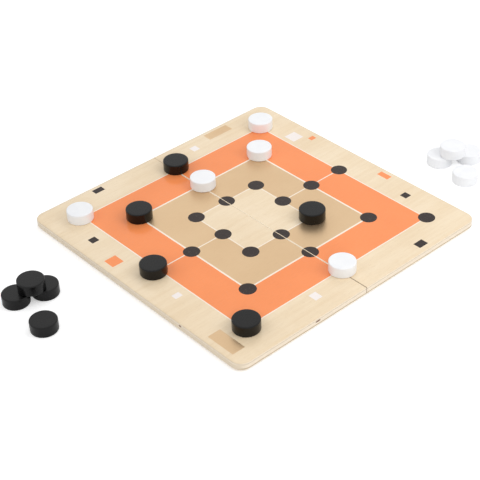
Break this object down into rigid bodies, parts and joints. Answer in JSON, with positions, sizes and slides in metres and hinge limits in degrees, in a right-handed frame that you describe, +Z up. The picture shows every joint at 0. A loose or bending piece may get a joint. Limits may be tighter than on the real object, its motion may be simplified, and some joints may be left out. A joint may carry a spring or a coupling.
{
  "type": "folding nine men's morris board game",
  "caption": "Square plywood nine men's morris board in two hinged leaves that fold in half, with black and white wooden disc men on and beside it.",
  "frame": {"origin": "centre of the open board, on the table it stands on", "axes": "+X along the seam between the two leaves, +Y from the front leaf to the back leaf, +Z up"},
  "size_m": [0.3, 0.4909, 0.022],
  "materials": {
    "plywood": "birch plywood, clear satin varnish over the printed top",
    "brass": "pressed brass, lightly dulled",
    "felt": "dark green wool felt",
    "black_paint": "turned beech, black satin paint",
    "white_paint": "turned beech, white satin paint"
  },
  "bodies": {
    "front_half": {"front_leaf": "plywood", "front_hinge_screws": "brass", "left_hinge_front_plate": "brass", "right_hinge_front_plate": "brass", "left_hinge_pin": "brass", "right_hinge_pin": "brass", "felt_pad_front_left": "felt", "felt_pad_front_right": "felt"},
    "back_half": {"back_leaf": "plywood", "back_hinge_screws": "brass", "left_hinge_back_plate": "brass", "right_hinge_back_plate": "brass", "felt_pad_back_left": "felt", "felt_pad_back_right": "felt"},
    "black_1": {"black_man_1": "black_paint"},
    "black_2": {"black_man_2": "black_paint"},
    "black_3": {"black_man_3": "black_paint"},
    "black_4": {"black_man_4": "black_paint"},
    "white_3": {"white_man_3": "white_paint"},
    "white_4": {"white_man_4": "white_paint"},
    "white_5": {"white_man_5": "white_paint"},
    "black_5": {"black_man_5": "black_paint"},
    "white_1": {"white_man_1": "white_paint"},
    "white_2": {"white_man_2": "white_paint"},
    "black_6": {"black_man_6": "black_paint"},
    "black_7": {"black_man_7": "black_paint"},
    "black_8": {"black_man_8": "black_paint"},
    "black_9": {"black_man_9": "black_paint"},
    "white_6": {"white_man_6": "white_paint"},
    "white_7": {"white_man_7": "white_paint"},
    "white_8": {"white_man_8": "white_paint"},
    "white_9": {"white_man_9": "white_paint"}
  },
  "joints": [
    {"name": "board_fold", "type": "hinge", "parent": "front_half", "child": "back_half", "pos_m": [0, 0, 0.0014], "axis": [-1, 0, 0], "range_deg": [0, 178.5]},
    {"name": "lift_black_1", "type": "slide", "parent": "front_half", "child": "black_1", "axis": [0, 0, 1], "range_m": [0, 0.03]},
    {"name": "lift_black_2", "type": "slide", "parent": "front_half", "child": "black_2", "axis": [0, 0, 1], "range_m": [0, 0.03]},
    {"name": "lift_black_3", "type": "slide", "parent": "front_half", "child": "black_3", "axis": [0, 0, 1], "range_m": [0, 0.03]},
    {"name": "lift_black_4", "type": "slide", "parent": "front_half", "child": "black_4", "axis": [0, 0, 1], "range_m": [0, 0.03]},
    {"name": "lift_white_3", "type": "slide", "parent": "front_half", "child": "white_3", "axis": [0, 0, 1], "range_m": [0, 0.03]},
    {"name": "lift_white_4", "type": "slide", "parent": "front_half", "child": "white_4", "axis": [0, 0, 1], "range_m": [0, 0.03]},
    {"name": "lift_white_5", "type": "slide", "parent": "front_half", "child": "white_5", "axis": [0, 0, 1], "range_m": [0, 0.03]},
    {"name": "lift_black_5", "type": "slide", "parent": "back_half", "child": "black_5", "axis": [0, 0, 1], "range_m": [0, 0.03]},
    {"name": "lift_white_1", "type": "slide", "parent": "back_half", "child": "white_1", "axis": [0, 0, 1], "range_m": [0, 0.03]},
    {"name": "lift_white_2", "type": "slide", "parent": "back_half", "child": "white_2", "axis": [0, 0, 1], "range_m": [0, 0.03]},
    {"name": "draw_black_6", "type": "slide", "parent": "front_half", "child": "black_6", "axis": [-0.8, 0.6, 0], "range_m": [0, 0.025]},
    {"name": "draw_black_7", "type": "slide", "parent": "front_half", "child": "black_7", "axis": [-0.6, -0.8, 0], "range_m": [0, 0.025]},
    {"name": "lift_black_8", "type": "slide", "parent": "front_half", "child": "black_8", "axis": [0, 0, 1], "range_m": [0, 0.03]},
    {"name": "lift_black_9", "type": "slide", "parent": "front_half", "child": "black_9", "axis": [0, 0, 1], "range_m": [0, 0.03]},
    {"name": "draw_white_6", "type": "slide", "parent": "front_half", "child": "white_6", "axis": [-0.8, -0.6, 0], "range_m": [0, 0.025]},
    {"name": "draw_white_7", "type": "slide", "parent": "front_half", "child": "white_7", "axis": [0.28, 0.96, 0], "range_m": [0, 0.025]},
    {"name": "lift_white_8", "type": "slide", "parent": "front_half", "child": "white_8", "axis": [0, 0, 1], "range_m": [0, 0.03]},
    {"name": "lift_white_9", "type": "slide", "parent": "front_half", "child": "white_9", "axis": [0, 0, 1], "range_m": [0, 0.03]}
  ]
}
